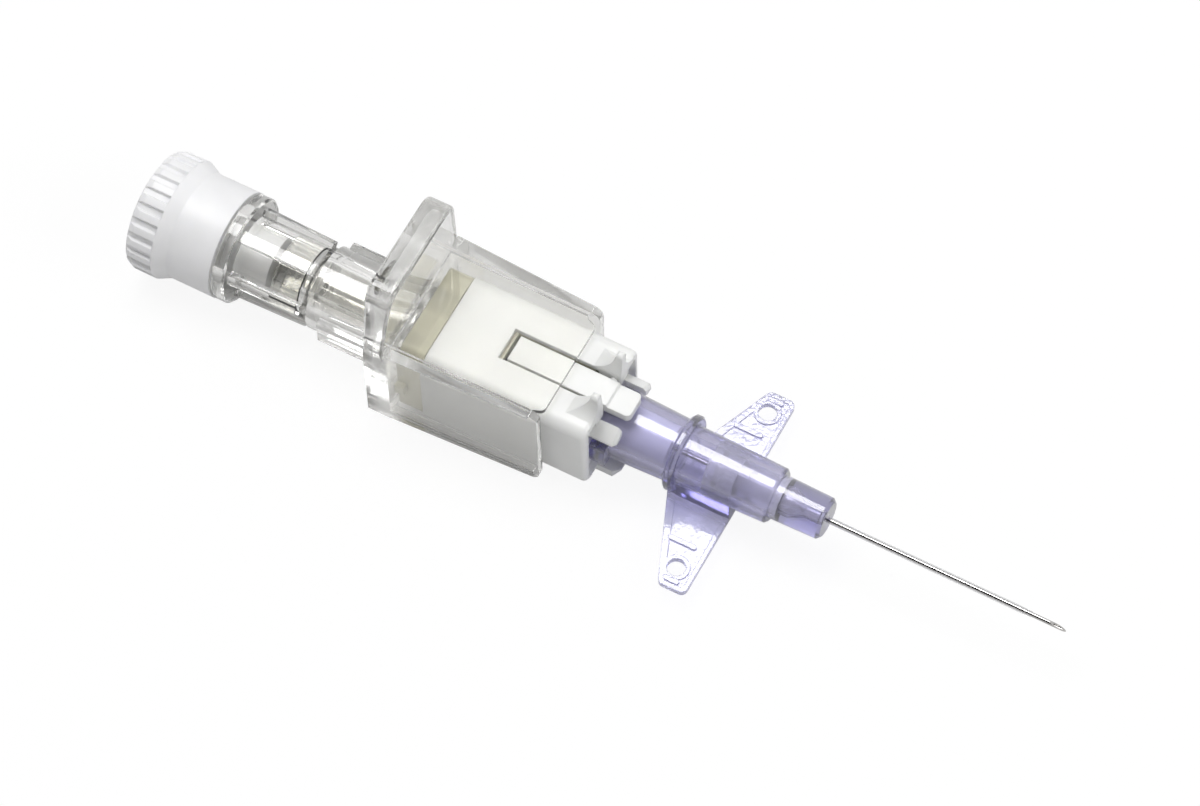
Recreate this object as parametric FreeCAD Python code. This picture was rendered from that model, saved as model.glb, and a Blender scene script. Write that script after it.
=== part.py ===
"""Winged safety intravenous cannula, 26 gauge, with the needle inside the catheter.

The needle runs along X and points to +X, +Z is up.
While it is drawn, x = 0 is the nose face of the catheter hub and y = z = 0 is the needle axis.
The whole part is moved at the end so that the middle of its base stands at the origin.
Sizes are in millimetres.
"""
import FreeCAD, Part
import math
import os

V = FreeCAD.Vector
X_AXIS = V(1, 0, 0)
FULL_TURN = 360
EPS = 0.01

# Clearances and fits
SLIDE_CLEARANCE = 0.08
LUER_CLEARANCE = 0.05
RUNNING_CLEARANCE = 0.04
BODY_GAP = 0.3
LUER_SLOPE = 0.03
LUER_MOUTH_R = 2.15

# Catheter tube
TUBE_R = 0.3
TUBE_BORE_R = 0.22
TUBE_END_X = 19.0
TUBE_TAPER_LENGTH = 1.3
TUBE_TIP_R = 0.25
TUBE_REAR_X = -2.6

# Catheter hub
NOSE_R = 1.9
NOSE_ROOT_R = 1.99
NOSE_LENGTH = 4.75
NOSE_EDGE = 0.3
FRONT_HUB_R = 2.52
FRONT_HUB_REAR_R = 2.72
RING_FRONT_X = -13.3
RING_LENGTH = 0.8
RING_REAR_X = RING_FRONT_X - RING_LENGTH
RING_R = 3.5
HUB_TUBE_FRONT_R = 2.86
HUB_TUBE_REAR_R = 3.09
HUB_REAR_X = -20.9
HUB_EDGE = 0.2
LUER_DEPTH = 7.0
LUG_TIP_R = 3.9
LUG_HALF_HEIGHT = 1.25
LUG_LENGTH = 1.5
CHAMBER_R = 1.75
CHAMBER_FRONT_X = -4.1
FUNNEL_REAR_R = 0.95
FUNNEL_FRONT_R = 0.5
FUNNEL_CONE_REAR_X = -3.2
FUNNEL_CONE_FRONT_X = -1.9
FUNNEL_FRONT_X = -0.6
FUNNEL = [(CHAMBER_FRONT_X, FUNNEL_REAR_R), (FUNNEL_CONE_REAR_X, FUNNEL_REAR_R),
          (FUNNEL_CONE_FRONT_X, FUNNEL_FRONT_R), (FUNNEL_FRONT_X, FUNNEL_FRONT_R)]

# Wings
WING_TOP_Z = -3.3
WING_THICKNESS = 0.6
WING_RIM_HEIGHT = 0.14
WING_RIM_WIDTH = 0.4
WING_TIP_Y = 10.4
WING_ROOT_Y = 2.3
WING_FRONT_X = -8.2
WING_TIP_REAR_X = -10.75
WING_ROOT_REAR_X = -14.1
WING_CORNER_R = 0.6
WING_REAR_INSET = 0.64
WING_HOLE_X = -10.0
WING_HOLE_Y = 8.45
WING_HOLE_R = 0.83
WING_BOSS_R = 1.2
PEDESTAL_HALF_WIDTH = 2.3
PEDESTAL_REAR_X = -13.9
BAR_WIDTH = 0.46
BAR_HEIGHT = 0.22
LONG_BAR_X = -12.0
LONG_BAR_LENGTH = 2.7
LONG_BAR_Y = 6.1
SHORT_BAR_X = -10.6
SHORT_BAR_LENGTH = 1.5
SHORT_BAR_Y = 9.7

# Parts inside the catheter hub
VALVE_REAR_X = -10.2
VALVE_LENGTH = 1.9
VALVE_SLIT_R = 0.24
VALVE_DISH = 0.5
OPENER_R = 1.55
OPENER_BORE_R = 0.75
OPENER_FLANGE_LENGTH = 0.6
OPENER_PORT_X = -7.1
OPENER_PORT_R = 0.38
SEAL_LENGTH = 0.8
SEAL_BORE_R = 1.1

# Needle guard, laid out from the rear of the catheter hub
GUARD_LAP = 0.3
GUARD_FRONT_X = HUB_REAR_X + GUARD_LAP
GUARD_LENGTH = 15.6
GUARD_REAR_X = GUARD_FRONT_X - GUARD_LENGTH
GUARD_HALF_WIDTH = 4.9
GUARD_TOP_Z = 4.76
GUARD_BOTTOM_Z = -4.1
GUARD_RIM_R = 0.5
GUARD_MOUTH_WALL = 0.7
GUARD_MOUTH_DEPTH = 0.6
GUARD_WALL = 0.5
GUARD_CORNER_R = 1.1
BULKHEAD_LENGTH = 1.5
BULKHEAD_FRONT_X = GUARD_FRONT_X - GUARD_MOUTH_DEPTH
BULKHEAD_REAR_X = BULKHEAD_FRONT_X - BULKHEAD_LENGTH
SLOT_LENGTH = 10.1
SLOT_HALF_WIDTH = 1.56
SLOT_REAR_X = GUARD_FRONT_X - SLOT_LENGTH
SLOT_FLOOR_Z = 3.1
GUARD_NOSE_REACH = 6.3
NOSE_TIP_X = HUB_REAR_X + GUARD_NOSE_REACH
GUARD_NOSE_BORE_R = 1.2
GUARD_NOSE_WALL = 0.8
NEEDLE_HOLE_R = 0.45
CHEEK_Y = 2.8
CHEEK_BOTTOM_Z = 3.4
EAR_TIP_Z = 7.6
EAR_TIP_SETBACK = 0.3
EAR_TIP_X = GUARD_FRONT_X - EAR_TIP_SETBACK
EAR_TIP_Y = 2.24
EAR_LENGTH = 3.6
EAR_REAR_X = GUARD_FRONT_X - EAR_LENGTH
EAR_OUTER_Y = 4.1
EAR_TIP_HALF = 0.38
EAR_SAG = 1.0
JAW_REACH = 2.1
JAW_FRONT_X = GUARD_FRONT_X + JAW_REACH
JAW_R = 4.16
JAW_INNER_Y = 2.15
JAW_BOTTOM_Z = 2.3
JAW_EDGE = 0.3
FOOT_REACH = 2.0
FOOT_FRONT_X = GUARD_FRONT_X + FOOT_REACH
FOOT_HALF_WIDTH = 2.8
FOOT_BOTTOM_Z = -4.4
FOOT_TOP_Z = -3.5
FOOT_CHAMFER = 0.6

# Release lever
PIVOT_SETBACK = 0.6
PIVOT_X = GUARD_FRONT_X - PIVOT_SETBACK
PIVOT_Z = 4.0
PIVOT_R = 0.34
LEVER_HALF_WIDTH = 1.24
LEVER_REAR_GAP = 0.7
LEVER_REAR_X = SLOT_REAR_X + LEVER_REAR_GAP
LEVER_REACH = 2.3
LEVER_FRONT_X = GUARD_FRONT_X + LEVER_REACH
LEVER_PAD_LENGTH = 2.1
LEVER_STEP_X = LEVER_FRONT_X - LEVER_PAD_LENGTH
LEVER_TOP_Z = 4.56
LEVER_PAD_TOP_Z = 4.3
LEVER_BOTTOM_Z = 3.7
LEVER_PAD_BOTTOM_Z = 3.45
LEVER_PAD_CORNER_R = 0.45
LEVER_EDGE = 0.12

# Handle housing, laid out from the rear of the guard
HANDLE_REAR_ROOM = 2.9
HANDLE_REAR_X = GUARD_REAR_X - HANDLE_REAR_ROOM
WALL_LENGTH = 14.5
WALL_FRONT_X = HANDLE_REAR_X + WALL_LENGTH
WALL_REAR_Y = 6.7
WALL_FRONT_Y = 6.0
WALL_INNER_REAR_Y = 5.4
WALL_INNER_FRONT_Y = 5.3
WALL_TOP_Z = 6.2
WALL_BOTTOM_Z = -4.4
WALL_CORNER_R = 0.8
LIP_THICKNESS = 0.35
LIP_REACH = 0.6
PLATE_TOP_Z = 5.6
PLATE_THICKNESS = 0.5
PLATE_FLAT_Y = 4.3
PLATE_NOTCH_DEPTH = 1.1
FLANGE_THICKNESS = 1.9
FLANGE_REAR_X = HANDLE_REAR_X - FLANGE_THICKNESS
FLANGE_TOP_Z = 13.9
FLANGE_TOP_Y = 5.5
FLANGE_CORNER_R = 1.6
FLANGE_THICKENING = 0.65
FLANGE_EDGE_R = 0.3
SOCKET_LENGTH = 7.6
SOCKET_REAR_X = FLANGE_REAR_X - SOCKET_LENGTH
SOCKET_R = 3.85
SOCKET_LUG_LENGTH = 6.2
SOCKET_LUG_REAR_X = FLANGE_REAR_X - SOCKET_LUG_LENGTH
SOCKET_LUG_STAGGER = 1.1
SOCKET_LUG_TIP_Y = 4.3
SOCKET_LUG_HALF_HEIGHT = 1.4
SOCKET_DEPTH = 6.6
SOCKET_END_X = SOCKET_REAR_X + SOCKET_DEPTH
BOSS_R = 2.5
BOSS_LENGTH = 2.2
BOSS_FRONT_X = HANDLE_REAR_X + BOSS_LENGTH

# Needle hub
NEEDLE_HUB_TAIL_GAP = 0.4
NEEDLE_HUB_REAR_X = SOCKET_END_X + NEEDLE_HUB_TAIL_GAP
NEEDLE_HUB_LENGTH = 16.2
NEEDLE_HUB_FRONT_X = NEEDLE_HUB_REAR_X + NEEDLE_HUB_LENGTH
NEEDLE_HUB_HEAD_LENGTH = 2.9
NEEDLE_HUB_HEAD_X = NEEDLE_HUB_FRONT_X - NEEDLE_HUB_HEAD_LENGTH
NEEDLE_HUB_SHAFT_R = 1.5
NEEDLE_HUB_SEAT_R = 1.75
NEEDLE_HUB_HEAD_R = 1.9
NEEDLE_HUB_BORE_R = 0.7
BOND_R = 0.8
BOND_DEPTH = 1.3
BOND_REAR_X = NEEDLE_HUB_FRONT_X - BOND_DEPTH

# Steel needle
NEEDLE_R = 0.2
NEEDLE_BORE_R = 0.11
NEEDLE_TIP_REACH = 3.2
NEEDLE_TIP_X = TUBE_END_X + NEEDLE_TIP_REACH
NEEDLE_GRIP = 4.6
NEEDLE_REAR_X = NEEDLE_HUB_FRONT_X - NEEDLE_GRIP
BEVEL_LENGTH = 1.5
NOTCH_SETBACK = 7.9
NOTCH_X = NEEDLE_TIP_X - NOTCH_SETBACK
NOTCH_LENGTH = 1.1
NOTCH_DEPTH = 0.16

# Intermediate sleeve
SLEEVE_REAR_ROOM = 0.5
SLEEVE_REAR_X = HANDLE_REAR_X + SLEEVE_REAR_ROOM
SLEEVE_FRONT_X = BULKHEAD_REAR_X - BODY_GAP
SLEEVE_WALL = 0.5
RIM_GAP = 0.1
RIM_REACH = 0.4
KEY_LENGTH = 0.9
KEY_HALF_HEIGHT = 0.6

# Tip shutter and its spring
SHUTTER_THICKNESS = 0.2
SHUTTER_HALF_WIDTH = 0.9
SHUTTER_BOTTOM_Z = -2.3
SHUTTER_FOOT_LENGTH = 1.2
SPRING_THICKNESS = 0.15
SPRING_HALF_WIDTH = 0.6
SPRING_RISE = 0.5

# Flash chamber with its ribbed collar, laid out from the rear socket
COLLAR_GAP = 0.6
COLLAR_FRONT_X = SOCKET_REAR_X - COLLAR_GAP
COLLAR_LENGTH = 8.3
COLLAR_REAR_X = COLLAR_FRONT_X - COLLAR_LENGTH
COLLAR_CORE_R = 3.45
RIB_REAR_R = 4.15
RIB_FRONT_R = 3.95
RIB_HALF_WIDTH = 0.5
RIB_COUNT = 6
RIB_FIRST_ANGLE = 13.6
COLLAR_RING_R = 4.95
COLLAR_RING_LENGTH = 1.3
CHAMBER_BORE_R = 2.5
CHAMBER_END = 0.8
CHAMBER_BORE_FRONT_X = COLLAR_FRONT_X - CHAMBER_END
FLASH_BORE_R = 1.0
LINER_WALL = 0.5
LINER_LENGTH = 2.6

# Vent cap, laid out from the rear of the collar
CAP_GAP = 0.1
CAP_FRONT_X = COLLAR_REAR_X - CAP_GAP
CAP_LENGTH = 8.3
CAP_REAR_X = CAP_FRONT_X - CAP_LENGTH
CAP_GRIP_LENGTH = 2.8
CAP_GRIP_R = 5.6
CAP_BODY_R = 5.0
CAP_SHOULDER_LENGTH = 1.25
CAP_EDGE_R = 0.8
CAP_GROOVES = 24
CAP_GROOVE_DEPTH = 0.32
CAP_GROOVE_WIDTH = 0.8
CAP_GROOVE_FLOOR = 0.5
CAP_WALL = 0.9
CAP_END = 1.1
CAP_PLUG_REACH = 4.3
CAP_PLUG_FRONT_X = COLLAR_REAR_X + CAP_PLUG_REACH
CAP_PLUG_BORE_R = 1.5
CAP_VENT_R = 0.4
CAP_DISH_R = 3.9
CAP_DISH_DEPTH = 0.35
FILTER_LENGTH = 1.2


def turned(points):
    """Solid of revolution about the needle axis from a list of (x, radius)."""
    wire = Part.makePolygon([V(x, r, 0) for x, r in points] + [V(points[0][0], points[0][1], 0)])
    return Part.Face(wire).revolve(V(0, 0, 0), X_AXIS, FULL_TURN)


def rod(x0, x1, r):
    """Round bar about the needle axis."""
    return Part.makeCylinder(r, x1 - x0, V(x0, 0, 0), X_AXIS)


def block(x0, x1, y0, y1, z0, z1):
    """Box between two corners."""
    return Part.makeBox(x1 - x0, y1 - y0, z1 - z0, V(x0, y0, z0))


def across(x0, x1, half, z0, z1):
    """Box that is centred on the needle axis in y."""
    return block(x0, x1, -half, half, z0, z1)


def side_profile(points, y0, y1):
    """Prism along y from a list of (x, z)."""
    wire = Part.makePolygon([V(x, y0, z) for x, z in points] + [V(points[0][0], y0, points[0][1])])
    return Part.Face(wire).extrude(V(0, y1 - y0, 0))


def end_profile(points, x0, x1):
    """Prism along x from a list of (y, z)."""
    wire = Part.makePolygon([V(x0, y, z) for y, z in points] + [V(x0, points[0][0], points[0][1])])
    return Part.Face(wire).extrude(V(x1 - x0, 0, 0))


def plan_profile(points, z0, z1):
    """Prism along z from a list of (x, y)."""
    wire = Part.makePolygon([V(x, y, z0) for x, y in points] + [V(points[0][0], points[0][1], z0)])
    return Part.Face(wire).extrude(V(0, 0, z1 - z0))


def mirrored(shape):
    """The same shape on the other side of the needle."""
    return shape.mirror(V(0, 0, 0), V(0, 1, 0))


def both_sides(shape):
    return shape.fuse(mirrored(shape))


def picked_edges(shape, keep):
    """Edges whose middle point and direction the test accepts."""
    edges = []
    for edge in shape.Edges:
        if edge.Length < EPS:
            continue
        middle = edge.valueAt((edge.FirstParameter + edge.LastParameter) / 2)
        along = edge.tangentAt((edge.FirstParameter + edge.LastParameter) / 2)
        if keep(middle, along):
            edges.append(edge)
    return edges


def rounded(shape, radius, keep):
    return shape.makeFillet(radius, picked_edges(shape, keep))


def chamfered(shape, size, keep):
    return shape.makeChamfer(size, picked_edges(shape, keep))


def runs_along_x(middle, along):
    return abs(along.x) > 1 - EPS


def rounded_bar(x0, x1, half, z0, z1, corner):
    """Bar along x with four rounded long edges."""
    return rounded(across(x0, x1, half, z0, z1), corner, runs_along_x)


def luer_r(x, mouth_x, inward):
    """Radius of a six per cent taper at x, whose mouth is at mouth_x."""
    return LUER_MOUTH_R - LUER_SLOPE * inward * (x - mouth_x)


def place(name, shape):
    """Move the finished piece to the row frame and write it."""
    shape = shape.removeSplitter()
    middle_x = (NEEDLE_TIP_X + CAP_REAR_X) / 2
    shape.translate(V(-middle_x, 0, CAP_GRIP_R))
    shape.exportStep(os.path.join("parts", name + ".step"))


def needle():
    tube = rod(NEEDLE_REAR_X, NEEDLE_TIP_X, NEEDLE_R).cut(rod(NEEDLE_REAR_X, NEEDLE_TIP_X, NEEDLE_BORE_R))
    heel = NEEDLE_TIP_X - BEVEL_LENGTH
    ground = side_profile([(heel, NEEDLE_R), (NEEDLE_TIP_X, -NEEDLE_R), (NEEDLE_TIP_X, NEEDLE_R)],
                          -NEEDLE_R, NEEDLE_R)
    notch = across(NOTCH_X, NOTCH_X + NOTCH_LENGTH, NEEDLE_R, -NEEDLE_R, NOTCH_DEPTH - NEEDLE_R)
    return tube.cut(ground).cut(notch)


def catheter_tube():
    taper_x = TUBE_END_X - TUBE_TAPER_LENGTH
    return turned([(TUBE_REAR_X, TUBE_BORE_R), (TUBE_REAR_X, TUBE_R), (taper_x, TUBE_R),
                   (TUBE_END_X, TUBE_TIP_R), (TUBE_END_X, TUBE_BORE_R)])


def wing_blank(inset, z0, z1):
    """One wing in plan, drawn in from its outline by inset."""
    root_inset = inset * WING_REAR_INSET / WING_RIM_WIDTH
    return plan_profile([(WING_ROOT_REAR_X + root_inset, WING_ROOT_Y - inset),
                         (WING_TIP_REAR_X + inset, WING_TIP_Y - inset),
                         (WING_FRONT_X - inset, WING_TIP_Y - inset),
                         (WING_FRONT_X - inset, WING_ROOT_Y - inset)], z0, z1)


def grip_bar(x0, x1, y, z):
    """Low bar along x with round ends, on the floor of a wing at z."""
    half = BAR_WIDTH / 2
    bar = block(x0 + half, x1 - half, y - half, y + half, z - EPS, z + BAR_HEIGHT)
    ends = [Part.makeCylinder(half, BAR_HEIGHT + EPS, V(x, y, z - EPS), V(0, 0, 1))
            for x in (x0 + half, x1 - half)]
    return bar.fuse(ends)


def wing():
    """Thin wing with a raised rim, an eyelet and two grip bars."""
    bottom_z = WING_TOP_Z - WING_THICKNESS

    def tip_corner(middle, along):
        return abs(along.z) > 1 - EPS and middle.y > WING_TIP_Y - WING_RIM_WIDTH - EPS

    plate = rounded(wing_blank(0, bottom_z, WING_TOP_Z), WING_CORNER_R, tip_corner)
    pocket = rounded(wing_blank(WING_RIM_WIDTH, WING_TOP_Z - WING_RIM_HEIGHT, WING_TOP_Z),
                     WING_CORNER_R / 2, tip_corner)
    plate = plate.cut(pocket)
    up = V(0, 0, 1)
    eyelet = V(WING_HOLE_X, WING_HOLE_Y, bottom_z)
    plate = plate.fuse(Part.makeCylinder(WING_BOSS_R, WING_THICKNESS, eyelet, up))
    plate = plate.cut(Part.makeCylinder(WING_HOLE_R, WING_THICKNESS, eyelet, up))
    floor_z = WING_TOP_Z - WING_RIM_HEIGHT
    for x, length, y in ((LONG_BAR_X, LONG_BAR_LENGTH, LONG_BAR_Y),
                         (SHORT_BAR_X, SHORT_BAR_LENGTH, SHORT_BAR_Y)):
        plate = plate.fuse(grip_bar(x, x + length, y, floor_z))
    return plate


def catheter_hub():
    """Female Luer hub with its ring, lugs, nose and wings in one moulding."""
    shoulder = -NOSE_LENGTH
    outside = turned([
        (HUB_REAR_X, 0), (HUB_REAR_X, HUB_TUBE_REAR_R - HUB_EDGE), (HUB_REAR_X + HUB_EDGE, HUB_TUBE_REAR_R),
        (RING_REAR_X, HUB_TUBE_FRONT_R), (RING_REAR_X, RING_R - HUB_EDGE), (RING_REAR_X + HUB_EDGE, RING_R),
        (RING_FRONT_X - HUB_EDGE, RING_R), (RING_FRONT_X, RING_R - HUB_EDGE),
        (RING_FRONT_X, FRONT_HUB_REAR_R), (shoulder - HUB_EDGE, FRONT_HUB_R),
        (shoulder, FRONT_HUB_R - HUB_EDGE), (shoulder, NOSE_ROOT_R), (-NOSE_EDGE, NOSE_R),
        (0, NOSE_R - NOSE_EDGE), (0, 0)])
    pedestal = across(PEDESTAL_REAR_X, WING_FRONT_X, PEDESTAL_HALF_WIDTH, WING_TOP_Z - WING_THICKNESS, 0)
    lugs = across(HUB_REAR_X, HUB_REAR_X + LUG_LENGTH, LUG_TIP_R, -LUG_HALF_HEIGHT, LUG_HALF_HEIGHT)
    lugs = lugs.common(rod(HUB_REAR_X, HUB_REAR_X + LUG_LENGTH, LUG_TIP_R))
    body = outside.fuse([pedestal, lugs, both_sides(wing())])
    luer_end = HUB_REAR_X + LUER_DEPTH
    bore = turned([
        (HUB_REAR_X, 0), (HUB_REAR_X, LUER_MOUTH_R), (luer_end, luer_r(luer_end, HUB_REAR_X, 1)),
        (luer_end, CHAMBER_R), (CHAMBER_FRONT_X, CHAMBER_R), *FUNNEL,
        (FUNNEL_FRONT_X, TUBE_R), (0, TUBE_R), (0, 0)])
    return body.cut(bore)


def catheter_wedge():
    """Waisted bush that holds the catheter tube in the nose of the hub and leads the needle in."""
    return turned([*FUNNEL, (FUNNEL_FRONT_X, TUBE_R), (TUBE_REAR_X, TUBE_R), (TUBE_REAR_X, TUBE_BORE_R),
                   (CHAMBER_FRONT_X, OPENER_BORE_R)])


def haemostasis_valve():
    """Silicone disc, dished at the rear and slit for the needle."""
    front = VALVE_REAR_X + VALVE_LENGTH
    return turned([(VALVE_REAR_X, CHAMBER_R), (front, CHAMBER_R), (front, VALVE_SLIT_R),
                   (VALVE_REAR_X + VALVE_DISH, VALVE_SLIT_R), (VALVE_REAR_X, SEAL_BORE_R)])


def valve_opener():
    """Tube between the valve and the funnel, with a foot at the funnel end and two side ports."""
    rear = VALVE_REAR_X + VALVE_LENGTH
    foot = CHAMBER_FRONT_X - OPENER_FLANGE_LENGTH
    tube = turned([(rear, OPENER_BORE_R), (rear, OPENER_R), (foot, OPENER_R), (foot, CHAMBER_R),
                   (CHAMBER_FRONT_X, CHAMBER_R), (CHAMBER_FRONT_X, OPENER_BORE_R)])
    ports = Part.makeCylinder(OPENER_PORT_R, 2 * OPENER_R, V(OPENER_PORT_X, 0, -OPENER_R), V(0, 0, 1))
    return tube.cut(ports)


def valve_ring():
    """Retaining ring behind the valve."""
    rear = VALVE_REAR_X - SEAL_LENGTH
    return turned([(rear, SEAL_BORE_R), (rear, CHAMBER_R), (VALVE_REAR_X, CHAMBER_R),
                   (VALVE_REAR_X, SEAL_BORE_R)])


def handle_wall():
    """Side wall with a rounded front end and a thin lip along its foot."""
    wall = plan_profile([(HANDLE_REAR_X, WALL_REAR_Y), (WALL_FRONT_X, WALL_FRONT_Y),
                         (WALL_FRONT_X, WALL_INNER_FRONT_Y), (HANDLE_REAR_X, WALL_INNER_REAR_Y)],
                        WALL_BOTTOM_Z, WALL_TOP_Z)

    def front_corner(middle, along):
        return abs(along.z) < EPS and abs(along.y) > 1 - EPS and middle.x > WALL_FRONT_X - EPS

    wall = rounded(wall, WALL_CORNER_R, front_corner)
    lip = block(HANDLE_REAR_X, WALL_FRONT_X - WALL_CORNER_R, WALL_INNER_FRONT_Y - LIP_REACH,
                WALL_INNER_REAR_Y, WALL_BOTTOM_Z, WALL_BOTTOM_Z + LIP_THICKNESS)
    return wall.fuse(lip)


def handle_plate():
    """Top plate, whose front corners run back in an S curve to the walls."""
    z0 = PLATE_TOP_Z - PLATE_THICKNESS
    start = V(WALL_FRONT_X, PLATE_FLAT_Y, z0)
    end = V(WALL_FRONT_X - PLATE_NOTCH_DEPTH, WALL_INNER_REAR_Y, z0)
    outside = V(WALL_FRONT_X, WALL_INNER_REAR_Y, z0)
    curve = Part.BSplineCurve()
    curve.interpolate(Points=[start, (start + end) / 2, end], InitialTangent=V(0, 1, 0),
                      FinalTangent=V(0, 1, 0))
    corner_wire = Part.Wire([curve.toShape(), Part.makeLine(end, outside), Part.makeLine(outside, start)])
    corner = Part.Face(corner_wire).extrude(V(0, 0, PLATE_THICKNESS))
    plate = across(HANDLE_REAR_X, WALL_FRONT_X, WALL_INNER_REAR_Y, z0, PLATE_TOP_Z)
    return plate.cut(both_sides(corner))


def thumb_flange():
    """Upright plate across the rear of the handle, thicker towards its top."""
    top_x = HANDLE_REAR_X + FLANGE_THICKENING
    plate = end_profile([(-WALL_REAR_Y, WALL_BOTTOM_Z), (WALL_REAR_Y, WALL_BOTTOM_Z),
                         (WALL_REAR_Y, WALL_TOP_Z), (FLANGE_TOP_Y, FLANGE_TOP_Z),
                         (-FLANGE_TOP_Y, FLANGE_TOP_Z), (-WALL_REAR_Y, WALL_TOP_Z)],
                        FLANGE_REAR_X, top_x)

    def top_corner(middle, along):
        return abs(along.x) > 1 - EPS and middle.z > FLANGE_TOP_Z - EPS

    def upper_rim(middle, along):
        return abs(along.x) < FLANGE_THICKENING / 2 and middle.z > WALL_TOP_Z + EPS

    plate = rounded(plate, FLANGE_CORNER_R, top_corner)
    side = side_profile([(FLANGE_REAR_X, WALL_BOTTOM_Z), (HANDLE_REAR_X, WALL_BOTTOM_Z),
                         (HANDLE_REAR_X, WALL_TOP_Z), (top_x, FLANGE_TOP_Z),
                         (FLANGE_REAR_X, FLANGE_TOP_Z)], -WALL_REAR_Y, WALL_REAR_Y)
    return rounded(plate.common(side), FLANGE_EDGE_R, upper_rim)


def handle_housing():
    """Clear handle: channel, top plate, thumb flange and rear Luer socket in one moulding."""
    socket = rod(SOCKET_REAR_X, FLANGE_REAR_X, SOCKET_R)
    near_lug = block(SOCKET_LUG_REAR_X, FLANGE_REAR_X, -SOCKET_LUG_TIP_Y, 0, -SOCKET_LUG_HALF_HEIGHT,
                     SOCKET_LUG_HALF_HEIGHT)
    far_lug = block(SOCKET_LUG_REAR_X - SOCKET_LUG_STAGGER, FLANGE_REAR_X, 0, SOCKET_LUG_TIP_Y,
                    -SOCKET_LUG_HALF_HEIGHT, SOCKET_LUG_HALF_HEIGHT)
    boss = rod(HANDLE_REAR_X, BOSS_FRONT_X, BOSS_R)
    body = thumb_flange().fuse([both_sides(handle_wall()), handle_plate(), socket, near_lug, far_lug, boss])
    bore = turned([
        (SOCKET_REAR_X, 0), (SOCKET_REAR_X, LUER_MOUTH_R),
        (SOCKET_END_X, luer_r(SOCKET_END_X, SOCKET_REAR_X, 1)), (SOCKET_END_X, NEEDLE_HUB_SEAT_R),
        (BOSS_FRONT_X, NEEDLE_HUB_SEAT_R), (BOSS_FRONT_X, 0)])
    return body.cut(bore)


def needle_hub():
    return turned([
        (NEEDLE_HUB_REAR_X, NEEDLE_HUB_BORE_R), (NEEDLE_HUB_REAR_X, NEEDLE_HUB_SEAT_R),
        (BOSS_FRONT_X, NEEDLE_HUB_SEAT_R), (BOSS_FRONT_X, NEEDLE_HUB_SHAFT_R),
        (NEEDLE_HUB_HEAD_X, NEEDLE_HUB_SHAFT_R), (NEEDLE_HUB_HEAD_X, NEEDLE_HUB_HEAD_R),
        (NEEDLE_HUB_FRONT_X, NEEDLE_HUB_HEAD_R), (NEEDLE_HUB_FRONT_X, BOND_R), (BOND_REAR_X, BOND_R),
        (BOND_REAR_X, NEEDLE_R), (NEEDLE_REAR_X, NEEDLE_R), (NEEDLE_REAR_X, NEEDLE_HUB_BORE_R)])


def needle_bond():
    """Adhesive in the well round the needle."""
    return rod(BOND_REAR_X, NEEDLE_HUB_FRONT_X, BOND_R).cut(rod(BOND_REAR_X, NEEDLE_HUB_FRONT_X, NEEDLE_R))


def guard_section(x0, x1, inset):
    """Rounded bar with the outline of the guard, drawn in by inset on every side."""
    return rounded_bar(x0, x1, GUARD_HALF_WIDTH - inset, GUARD_BOTTOM_Z + inset,
                       GUARD_TOP_Z - inset, GUARD_CORNER_R - inset)


def guard_ear():
    """Fin that is concave at the rear and on its outer flank."""
    base_z = GUARD_TOP_Z - GUARD_WALL / 2
    rear = V(EAR_REAR_X, 0, base_z)
    top = V(EAR_TIP_X - EAR_TIP_HALF, 0, EAR_TIP_Z - EAR_TIP_HALF)
    sag = (rear + top) / 2 + V(EAR_SAG, 0, -EAR_SAG) / 2
    ramp = Part.Arc(rear, sag, top).toShape()
    crown = Part.Arc(top, V(EAR_TIP_X, 0, EAR_TIP_Z), V(GUARD_FRONT_X, 0, top.z)).toShape()
    front = Part.makeLine(V(GUARD_FRONT_X, 0, top.z), V(GUARD_FRONT_X, 0, base_z))
    foot = Part.makeLine(V(GUARD_FRONT_X, 0, base_z), rear)
    fin = Part.Face(Part.Wire([ramp, crown, front, foot])).extrude(V(0, EAR_OUTER_Y, 0))
    x0 = EAR_REAR_X
    inner_foot = V(x0, SLOT_HALF_WIDTH, base_z)
    inner_top = V(x0, EAR_TIP_Y - EAR_TIP_HALF, EAR_TIP_Z - EAR_TIP_HALF)
    outer_top = V(x0, EAR_TIP_Y + EAR_TIP_HALF, EAR_TIP_Z - EAR_TIP_HALF)
    outer_foot = V(x0, EAR_OUTER_Y, base_z)
    flank_sag = (outer_top + outer_foot) / 2 + V(0, -EAR_SAG, -EAR_SAG) / 2
    section = Part.Wire([
        Part.makeLine(inner_foot, inner_top),
        Part.Arc(inner_top, V(x0, EAR_TIP_Y, EAR_TIP_Z), outer_top).toShape(),
        Part.Arc(outer_top, flank_sag, outer_foot).toShape(),
        Part.makeLine(outer_foot, inner_foot)])
    return fin.common(Part.Face(section).extrude(V(GUARD_FRONT_X - EAR_REAR_X, 0, 0)))


def guard_jaw():
    """Part of a ring that reaches forward over the side of the catheter hub."""
    ring = rod(BULKHEAD_REAR_X, JAW_FRONT_X, JAW_R).cut(
        rod(BULKHEAD_FRONT_X, JAW_FRONT_X, HUB_TUBE_REAR_R + BODY_GAP))
    jaw = ring.common(block(BULKHEAD_REAR_X, JAW_FRONT_X, JAW_INNER_Y, JAW_R, JAW_BOTTOM_Z, JAW_R))

    def front_end(middle, along):
        return middle.x > JAW_FRONT_X - EPS and math.hypot(middle.y, middle.z) > JAW_R - EPS

    return chamfered(jaw, JAW_EDGE, front_end)


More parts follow.
